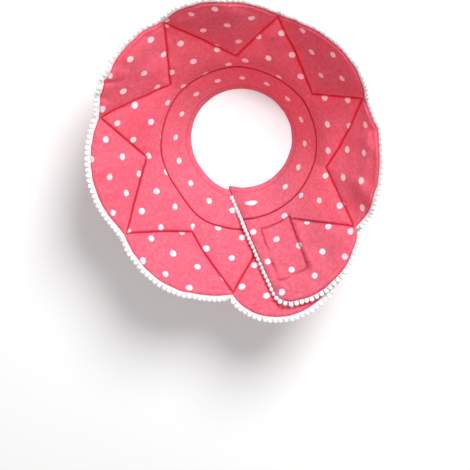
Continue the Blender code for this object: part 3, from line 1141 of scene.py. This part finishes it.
    def darkness(self, corner: Corner) -> float:
        """How much painted shade a corner gets: in the creases of the zigzag seam, the band's seam and the
        patch's stitching, and a painted shadow at the rim's and flap's edge by the tape.
        """
        turn, slant = self.place(corner)
        dark = exp(-self.seam_frame(turn, slant)[0] / self.crease_shade_width)
        to_band = slant - self.wall.band_width
        dark = max(dark, self.band_seam_shade * exp(-to_band / self.crease_shade_width))
        if self.over_patch(turn, corner.side):
            to_patch, pulled = self.to_patch(turn, slant)
            dark = max(dark, self.patch_stitch_shade * pulled * exp(-abs(to_patch) / self.crease_shade_width))
        to_border = min(self.wall.rim_slant(turn) - slant, self.edge_distance(turn, slant))
        return max(dark, self.edge_shadow * exp(-max(0.0, to_border) / self.edge_shadow_width))

    def cut(self, column: float, row: float, side: Side) -> Cut:
        """How the print of one triangle lies, which the tucks in the seams shift."""
        first = int(column)
        turn = between(self.turns[first], self.turns[min(len(self.turns) - 1, first + 1)], column % 1.0)
        teeth = self.wall.teeth
        if self.on_flap(turn) or (row > self.rows_below and turn < teeth[0].outer_turn):
            name = "flap"
        elif row > self.rows_below:
            name = f"rim{sum(turn > tooth.outer_turn for tooth in teeth)}"
        else:
            name = f"neck{sum(turn > tooth.inner_turn for tooth in teeth) - 1}"
        cut = self.cuts.get(name, self.hidden_cut)
        if side is Side.BEHIND:
            across, along = self.behind_shift
            return Cut(cut.along + across, cut.across + along, -cut.turned)
        return cut

    def printed(self, corner: Corner, column: float, row: float, side: Side) -> tuple[float, float]:
        """A corner's place in the print."""
        turn, slant = self.place(corner)
        across, along = self.wall.laid_flat(self.wall.skewed(turn, slant), slant)
        cut = self.cut(column, row, side)
        turned = radians(cut.turned)
        moved_across = across * cos(turned) + along * sin(turned) - cut.across * MILLIMETRE
        moved_along = along * cos(turned) - across * sin(turned) - cut.along * MILLIMETRE
        return moved_across / cut.pulled_across, moved_along / cut.pulled_along

    def build(self, cotton: Material) -> Object:
        """Makes the panel.

        Args:
            cotton: The cloth.

        Returns:
            The dressed piece.
        """
        mesh = WallMesh(len(self.turns) - 1, len(self.shares) - 1)

        def put(corner: Corner) -> Vector:
            """The point of a corner."""
            turn, slant = self.place(corner)
            return self.surface(turn, slant, corner.side)

        mesh.shape(put)
        mesh.painted_shade(self.darkness)
        mesh.print_map(self.printed)
        piece = dressed("quilted_panel", mesh.bm, cotton, Slot.COTTON)
        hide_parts("cone_panel")
        return piece


@dataclass
class NeckBand:
    """The band between the panel's lower seam and the neck edge, hemmed at the neck."""

    wall: Wall
    per_seam: int = 16
    rows: int = 22
    hem: float = 0.007
    hem_swell: float = 0.0003
    hem_notch: float = 0.7
    notch_depth: float = 0.00045
    notch_width: float = 0.0009
    # Painted shade in the creases at the band's seam and hem: its reach and its strength at each.
    crease_shade_width: float = 0.0010
    seam_shade: float = 0.8
    hem_shade: float = 0.35
    ruck: float = 0.00035
    ruck_length: float = 0.010
    ruck_height: float = 0.03
    ruck_fade: float = 0.004
    least_edge: float = 0.1
    print_starts: tuple[float, float] = (0.004, 0.015)
    fill: float = 0.3

    def __post_init__(self) -> None:
        """Works out the grid's turns."""
        self.turns = self.wall.turns(self.per_seam, 1)
        self.turns[0] = self.wall.flap_edge_turn

    def slant(self, row: int) -> float:
        """The slant of a row."""
        return between(0.0, self.wall.band_width - self.wall.fit / 2.0, crowded(self.rows)[row])

    def half_thickness(self, turn: float, slant: float) -> float:
        """Half the band's thickness: rounded at the neck edge, nipped at the seam and the hem."""
        wall = self.wall
        half = wall.band_thickness / 2.0
        to_seam = wall.band_width - slant
        half -= self.notch_depth * bell(to_seam, self.notch_width)
        half -= self.notch_depth * self.hem_notch * bell(slant - self.hem, self.notch_width)
        half += self.hem_swell * smooth((self.hem - slant) / self.hem)
        place = Vector((radians(turn) * wall.neck_radius / self.ruck_length, slant / self.ruck_height, 0.0))
        half += self.ruck * noise.noise(place) * (1.0 - bell(to_seam, self.ruck_fade))
        round_off = wall.band_thickness / 2.0
        return half * rounded(slant, round_off, self.least_edge) if slant < round_off else half

    def surface(self, turn: float, slant: float, side: Side, lift: float = 0.0) -> Vector:
        """A point of the band's face, or this far off it."""
        moved = self.wall.skewed(turn, slant)
        return self.wall.point(moved, slant, side * (self.half_thickness(turn, slant) + lift))

    def build(self, cotton: Material) -> Object:
        """Makes the band.

        Args:
            cotton: The cloth.

        Returns:
            The dressed piece.
        """
        mesh = WallMesh(len(self.turns) - 1, self.rows)

        def put(corner: Corner) -> Vector:
            """The point of a corner."""
            return self.surface(self.turns[corner.column], self.slant(corner.row), corner.side)

        def dark(corner: Corner) -> float:
            """How much painted shade a corner gets, in the creases at the seam and the hem."""
            slant = self.slant(corner.row)
            at_seam = self.seam_shade * exp(-(self.wall.band_width - slant) / self.crease_shade_width)
            at_hem = self.hem_shade * exp(-abs(slant - self.hem) / self.crease_shade_width)
            return max(at_seam, at_hem)

        def printed(corner: Corner, column: float, row: float, side: Side) -> tuple[float, float]:
            """A corner's place in the print, on a strip cut along the cloth."""
            start = self.print_starts[0 if side is Side.MOUTH else 1]
            middle = self.wall.profile(self.wall.band_width / 2.0)[0]
            return radians(self.turns[corner.column]) * middle, self.slant(corner.row) + start

        mesh.shape(put)
        mesh.painted_shade(dark)
        mesh.print_map(printed)
        piece = dressed("neck_band_cloth", mesh.bm, cotton, Slot.COTTON)
        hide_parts("neck_band")
        return piece


@dataclass
class Stitching:
    """Rows of lockstitch along the seams, each row joined into one piece."""

    wall: Wall
    length: float = 0.0023
    gap: float = 0.0006
    thickness: float = 0.00034
    flatness: float = 1.25
    sink: float = 0.00006
    zigzag_steps: int = 900
    hem_steps: int = 700
    end_margin: float = 2.0

    def row(self, name: str, points: list[Vector], normals: list[Vector], material: Material) -> Object:
        """Makes the stitches that follow a line on the cloth.

        Args:
            name: The piece's name.
            points: Closely spaced points of the line.
            normals: The cloth's outward direction at each point.
            material: The thread.

        Returns:
            The dressed piece.
        """
        shape = bmesh.new()
        bmesh.ops.create_uvsphere(shape, u_segments=6, v_segments=4, radius=0.5)
        stitches = Repeats("stitch", shape)
        sized = Matrix.Diagonal((self.thickness * self.flatness, self.thickness, self.length, 1.0))
        pitch = self.length + self.gap
        lengths = lengths_along(points)
        middles = [(step + 0.5) * pitch for step in range(int(lengths[-1] / pitch))]
        for at, share in walked(lengths, middles):
            ahead = (points[at + 1] - points[at]).normalized()
            out = normals[at].lerp(normals[at + 1], share).normalized()
            across = ahead.cross(out).normalized()
            turned = Matrix((across, out, ahead)).transposed().to_4x4()
            stitches.add(turned @ sized, points[at].lerp(points[at + 1], share) - out * self.sink)
        return dressed(name, stitches.taken(), material, Slot.COTTON)

    def along(self, name: str, places: list[tuple[float, float]], piece: QuiltedPanel | NeckBand,
              side: Side, material: Material) -> Object:
        """Makes the stitches through places given as turn and slant on a piece's face.

        Args:
            name: The new piece's name.
            places: Closely spaced places of the line.
            piece: What is sewn.
            side: Its face.
            material: The thread.

        Returns:
            The dressed piece.
        """
        points = [piece.surface(turn, slant, side) for turn, slant in places]
        lifted = [piece.surface(turn, slant, side, MILLIMETRE) for turn, slant in places]
        normals = [(high - low).normalized() for low, high in zip(points, lifted)]
        return self.row(name, points, normals, material)

    def turns(self, first: float, steps: int) -> list[float]:
        """Evenly spaced turns from the first to just before the hidden end."""
        last = self.wall.hidden_end_turn - self.end_margin
        return [between(first, last, step / steps) for step in range(steps + 1)]

    def zigzag(self, panel: QuiltedPanel, side: Side, material: Material) -> Object:
        """The quilting seam."""
        turns = self.turns(self.wall.teeth[0].inner_turn, self.zigzag_steps)
        places = [(turn, self.wall.zigzag(turn)) for turn in turns]
        return self.along(f"zigzag_stitches_{side.name.lower()}", places, panel, side, material)

    def patch_rectangle(self, panel: QuiltedPanel, material: Material) -> Object:
        """The rectangle that holds the hook-and-loop patch, on the flap's face."""
        patch = panel.patch
        inset = patch.stitch_inset
        wide, low, high = patch.width / 2.0 - inset, inset, patch.length - inset
        corners = [(-wide, low), (-wide, high), (wide, high), (wide, low), (-wide, low)]
        places = []
        for (x0, y0), (x1, y1) in zip(corners, corners[1:]):
            steps = ceil(hypot(x1 - x0, y1 - y0) / MILLIMETRE)
            for step in range(steps):
                share = step / steps
                turn, slant = patch.place(self.wall, between(x0, x1, share), between(y0, y1, share))
                places.append((self.unskewed(turn, slant), slant))
        return self.along("patch_stitches", places, panel, Side.MOUTH, material)

    def unskewed(self, turn: float, slant: float) -> float:
        """The grid's turn that the flap's skew moves to this turn."""
        span = self.wall.teeth[0].inner_turn - self.wall.flap_edge_turn
        most = self.wall.edge_turn(slant) - self.wall.flap_edge_turn
        if turn >= self.wall.teeth[0].inner_turn:
            return turn
        off = (turn - self.wall.flap_edge_turn - most) / (1.0 - most / span)
        return self.wall.flap_edge_turn + off

    def neck_hem(self, band: NeckBand, side: Side, material: Material) -> Object:
        """The row of stitches round the neck's hem."""
        turns = self.turns(self.wall.flap_edge_turn + self.end_margin, self.hem_steps)
        places = [(turn, band.hem) for turn in turns]
        return self.along(f"neck_hem_stitches_{side.name.lower()}", places, band, side, material)


class Station(NamedTuple):
    """A place along the trimmed edge, and how far the trim is pulled in and lies behind the cloth there."""

    point: Vector
    ahead: Vector
    normal: Vector
    outward: Vector
    travelled: float
    pull: float
    drop: float

    def off(self, out: float, up: float) -> Vector:
        """A point this far out from the edge and this far up from the cloth's middle."""
        return self.point + self.outward * (out - self.pull) + self.normal * (up - self.drop)


@dataclass
class PompomTrim:
    """The white tape along the rim and the flap's edge, with its row of small pompoms."""

    wall: Wall
    ball_diameter: float = 0.0046
    ball_pitch: float = 0.0048
    tape_width: float = 0.0020
    tape_thickness: float = 0.0008
    tape_tuck: float = 0.0006
    tape_step: float = 0.0012
    ball_sink: float = 0.0007
    start_diameters: float = 2.0
    straight_steps: int = 120
    per_seam: int = 40
    at_corner: int = 24
    lump: float = 0.09
    lump_size: float = 0.0016
    lump_step: float = 3.1
    stray: float = 0.00018
    ball_sizes: tuple[float, float] = (0.95, 1.04)
    tape_outline: tuple[tuple[float, float], ...] = (
        (0.0, 0.30), (0.12, 0.5), (0.5, 0.42), (0.88, 0.5), (1.0, 0.30),
    )
    tape_ribs: tuple[float, float] = (0.92, 1.12)
    flap_pull: float = 0.0027
    flap_drop: float = 0.0013
    hem_drop: float = 0.4
    hem_pull: float = 0.0013
    pull_fades: tuple[float, float] = (-42.0, -22.0)
    seed: int = 11

    def edge(self) -> list[tuple[float, float]]:
        """Closely spaced places up the flap's edge, round its corner and along the rim."""
        wall = self.wall
        places = []
        start = self.ball_diameter * self.start_diameters
        corner = wall.rim_slant(wall.flap_edge_turn)
        for step in range(self.straight_steps):
            slant = between(start, corner, step / self.straight_steps)
            places.append((wall.edge_turn(slant), slant))
        for turn in wall.turns(self.per_seam, self.at_corner):
            slant = wall.rim_slant(turn)
            places.append((wall.skewed(turn, slant), slant))
        return places

    def stations(self, pitch: float) -> list[Station]:
        """Evenly spaced places along the trimmed edge.

        Args:
            pitch: About how far apart they are.

        Returns:
            The stations.
        """
        places = self.edge()
        points = [self.wall.point(turn, slant, 0.0) for turn, slant in places]
        lifted = [self.wall.point(turn, slant, MILLIMETRE) for turn, slant in places]
        lengths = lengths_along(points)
        count = round(lengths[-1] / pitch)
        corner = lengths[self.straight_steps]
        stops = [lengths[-1] * step / count for step in range(count + 1)]
        spots = []
        for stop, (at, share) in zip(stops, walked(lengths, stops)):
            normal = (lifted[at] - points[at]).lerp(lifted[at + 1] - points[at + 1], share).normalized()
            turn = between(places[at][0], places[at + 1][0], share)
            point = points[at].lerp(points[at + 1], share)
            spots.append((point, normal, stop, self.tuck(turn, stop - corner)))
        stations = []
        for index, (point, normal, travelled, (pull, drop)) in enumerate(spots):
            before = spots[max(0, index - 1)][0]
            after = spots[min(len(spots) - 1, index + 1)][0]
            ahead = (after - before).normalized()
            outward = ahead.cross(normal).normalized()
            stations.append(Station(point, ahead, normal, outward, travelled, pull, drop))
        return stations

    def tuck(self, turn: float, past_corner: float) -> tuple[float, float]:
        """How far the trim is pulled in and lies behind the cloth: most along the flap's straight edge.

        Args:
            turn: The place's turn.
            past_corner: How far along the trim it lies past the flap's corner.

        Returns:
            The pull and the drop.
        """
        on_straight = 1.0 - smooth(past_corner / self.wall.flap_corner_radius)
        start, end = self.pull_fades
        on_flap = 1.0 - smooth((turn - start) / (end - start))
        pull = between(self.hem_pull * on_flap, self.flap_pull, on_straight)
        return pull, self.flap_drop * max(on_straight, self.hem_drop * on_flap)

    def tape(self, material: Material) -> Object:
        """The ribbed tape, tucked into the edge's seam."""
        stations = self.stations(self.tape_step)
        outline = self.tape_outline + tuple((out, -up) for out, up in reversed(self.tape_outline))
        columns, sides = len(stations) - 1, len(outline)
        bm = bmesh.new()
        bmesh.ops.create_grid(bm, x_segments=columns, y_segments=sides, size=1.0)
        uv = bm.loops.layers.uv.new(PRINT_MAP)
        reach = self.tape_width + self.tape_tuck + self.wall.fit
        spots = {}
        for vertex in bm.verts:
            column = round((vertex.co.x + 1.0) / 2.0 * columns)
            side = round((vertex.co.y + 1.0) / 2.0 * sides)
            spots[vertex] = (column, side)
        for face in bm.faces:
            for loop in face.loops:
                column, side = spots[loop.vert]
                loop[uv].uv = (stations[column].travelled, side * self.tape_width / sides)
        for vertex, (column, side) in spots.items():
            station = stations[column]
            out, up = outline[side % sides]
            thick = self.tape_thickness * self.tape_ribs[column % 2]
            vertex.co = station.off(out * reach - self.tape_tuck, up * thick)
        bmesh.ops.remove_doubles(bm, verts=bm.verts[:], dist=1e-6)
        bmesh.ops.holes_fill(bm, edges=[edge for edge in bm.edges if edge.is_boundary], sides=sides)
        piece = dressed("trim_tape", bm, material, Slot.TRIM)
        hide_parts("pompom_trim")
        return piece

    def pompoms(self, material: Material) -> Object:
        """The pompoms: small lumpy balls of cut cotton, one beside the other."""
        chance = random.Random(self.seed)
        shape = bmesh.new()
        bmesh.ops.create_cube(shape, size=1.0)
        bmesh.ops.subdivide_edges(shape, edges=shape.edges[:], cuts=2, use_grid_fill=True)
        for vertex in shape.verts:
            vertex.co.normalize()
        balls = Repeats("pompom", shape)
        radius = self.ball_diameter / 2.0
        out = self.wall.fit + self.tape_width + radius - self.ball_sink
        stations = self.stations(self.ball_pitch / 2.0)
        for index, station in enumerate(stations[1::2]):
            middle = station.off(out, 0.0)
            middle += Vector([chance.uniform(-self.stray, self.stray) for _ in range(3)])
            angle = chance.uniform(0.0, 2.0 * pi)
            axis = Vector([chance.uniform(least, 1.0) for least in (-1.0, -1.0, 0.2)])
            size = radius * chance.uniform(*self.ball_sizes)
            start = Vector((index * self.lump_step, 0.0, 0.0))

            def lumpy(point: Vector, start: Vector = start) -> float:
                """How far the cotton bulges at a point of this ball."""
                return 1.0 + self.lump * noise.noise(point / self.lump_size + start)

            balls.add(Matrix.Rotation(angle, 4, axis) @ Matrix.Scale(size, 4), middle, lumpy)
        piece = dressed("pompoms", balls.taken(), material, Slot.TRIM)
        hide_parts("pompom_trim")
        return piece


@dataclass
class ClosurePatch:
    """The two halves of the hook-and-loop closure, pressed together between the layers."""

    wall: Wall
    patch: Patch
    columns: int = 34
    rows: int = 60
    selvedge: float = 0.0016
    selvedge_share: float = 0.55
    fill: float = 0.2

    def build(self, pile: Material) -> Object:
        """Makes the closure.

        Args:
            pile: Its finish.

        Returns:
            The dressed piece.
        """
        mesh = WallMesh(self.columns, self.rows)

        def put(corner: Corner) -> Vector:
            """The point of a corner, midway between the layers."""
            across = self.patch.width * (corner.column / self.columns - 0.5)
            along = self.patch.length * corner.row / self.rows
            turn, slant = self.patch.place(self.wall, across, along)
            radius, height = self.wall.profile(slant)
            edge = min(self.patch.width / 2.0 - abs(across), along, self.patch.length - along)
            plump = between(self.selvedge_share, 1.0, smooth(edge / self.selvedge))
            forward = corner.side * self.wall.patch_thickness / 2.0 * plump
            forward += self.wall.softness(turn, slant)
            radius += self.wall.layer_step(slant) * (0.5 - self.wall.flap_lift_share)
            tilt = self.wall.flare(slant)
            return self.wall.round_axis(turn, radius - forward * cos(tilt), height + forward * sin(tilt))

        mesh.shape(put)
        piece = dressed("closure_pile", mesh.bm, pile, Slot.CLOSURE)
        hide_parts("closure_patch")
        return piece


@dataclass
class Studio:
    """The floor, the lights and the camera."""

    neck_axis: tuple[float, float]
    rim_height: float = 0.084
    tilt_up: float = 12.0
    tilt_right: float = 5.0
    focal_pixels: float = 1167.0
    frame_pixels: float = 470.0
    metres_a_pixel: float = 0.0009
    target_pixel: tuple[float, float] = (234.0, 157.0)
    sensor: float = 36.0
    clip: tuple[float, float] = (0.05, 20.0)
    key_place: tuple[float, float, float] = (0.55, 1.05, 1.20)
    key_power: float = 31.0
    key_size: float = 0.8
    fill_place: tuple[float, float, float] = (-0.9, -0.5, 1.5)
    fill_power: float = 1.8
    fill_size: float = 1.2
    world_light: float = 0.34
    white: tuple[float, float, float, float] = (1.0, 1.0, 1.0, 1.0)
    floor_colours: tuple[Colour, Colour] = ((0.760, 0.760, 0.762), (0.775, 0.774, 0.773))
    floor_cloud_size: float = 0.35
    floor_roughness: float = 0.8
    floor_specular: float = 0.1
    floor_glow: float = 0.14
    floor_half: float = 12.0
    look: str = "Medium High Contrast"

    def camera(self) -> Object:
        """Makes the camera at the photograph's angle, with the cone in the upper part of the frame."""
        target = Vector((*self.neck_axis, self.rim_height))
        back = Vector((tan(radians(self.tilt_right)), tan(radians(self.tilt_up)), 1.0)).normalized()
        up = Vector((0.0, 1.0, 0.0))
        up = (up - back * up.dot(back)).normalized()
        right = up.cross(back)
        middle = self.frame_pixels / 2.0
        rise = (middle - self.target_pixel[1]) / self.focal_pixels
        run = (self.target_pixel[0] - middle) / self.focal_pixels
        forward = (-back - up * rise - right * run).normalized()
        true_up = (up - forward * up.dot(forward)).normalized()
        true_right = forward.cross(true_up)
        data = bpy.data.cameras.new("photo_camera")
        data.sensor_width = self.sensor
        data.lens = self.focal_pixels / self.frame_pixels * self.sensor
        data.clip_start, data.clip_end = self.clip
        camera = bpy.data.objects.new("photo_camera", data)
        turned = Matrix((true_right, true_up, -forward)).transposed().to_4x4()
        distance = self.focal_pixels * self.metres_a_pixel
        camera.matrix_world = Matrix.Translation(target + back * distance) @ turned
        bpy.context.scene.collection.objects.link(camera)
        bpy.context.scene.camera = camera
        return camera

    def floor(self) -> Object:
        """Makes the plain pale floor."""
        bench = Bench("pale_floor", self.floor_colours[0])
        solid = bench.node("ShaderNodeTexCoord").outputs["Object"]
        cloud = bench.graded(bench.lumps(solid, self.floor_cloud_size), 0.3, 0.7)
        pale = bench.dressed({
            "Base Color": bench.mixed(cloud, *self.floor_colours),
            "Roughness": self.floor_roughness,
            "Specular IOR Level": self.floor_specular,
            "Emission Color": self.white,
            "Emission Strength": self.floor_glow,
        })
        bm = bmesh.new()
        bmesh.ops.create_grid(bm, x_segments=1, y_segments=1, size=self.floor_half)
        floor = finished("floor", bm, pale)
        return floor

    def light(self, name: str, place: Vector, power: float, size: float) -> Object:
        """Makes a soft light that looks at the cone."""
        data = bpy.data.lights.new(name, "AREA")
        data.energy = power
        data.shape = "DISK"
        data.size = size
        lamp = bpy.data.objects.new(name, data)
        target = Vector((*self.neck_axis, self.rim_height))
        aim = (target - place).to_track_quat("-Z", "Y")
        lamp.matrix_world = Matrix.Translation(place) @ aim.to_matrix().to_4x4()
        bpy.context.scene.collection.objects.link(lamp)
        return lamp

    def build(self) -> None:
        """Makes the whole studio."""
        self.floor()
        self.camera()
        self.light("key_light", Vector(self.key_place), self.key_power, self.key_size)
        self.light("fill_light", Vector(self.fill_place), self.fill_power, self.fill_size)
        world = bpy.data.worlds.new("studio_light")
        world.use_nodes = True
        background = world.node_tree.nodes["Background"]
        background.inputs["Color"].default_value = self.white
        background.inputs["Strength"].default_value = self.world_light
        scene = bpy.context.scene
        scene.world = world
        scene.view_settings.view_transform = "Standard"
        scene.view_settings.look = self.look


def main() -> None:
    """Builds the cone's pieces in order."""
    logging.basicConfig(level=logging.INFO, format="%(message)s")
    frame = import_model()
    wall = Wall.from_record(frame["record"])
    patch = Patch()
    cotton = SpottedCotton().material()
    thread = Thread().material()
    panel = QuiltedPanel(wall, patch)
    panel.build(cotton)
    band = NeckBand(wall)
    band.build(cotton)
    ClosurePatch(wall, patch).build(HookAndLoop().material())
    stitching = Stitching(wall)
    for side in Side:
        stitching.zigzag(panel, side, thread)
        stitching.neck_hem(band, side, thread)
    stitching.patch_rectangle(panel, thread)
    trim = PompomTrim(wall)
    trim.tape(FluffyCotton("woven_tape", rib_pitch=0.0012, relief=0.00015).material())
    trim.pompoms(FluffyCotton("pompom_cotton").material())
    Studio((wall.axis_x, wall.axis_y)).build()


if __name__ == "__main__":
    main()
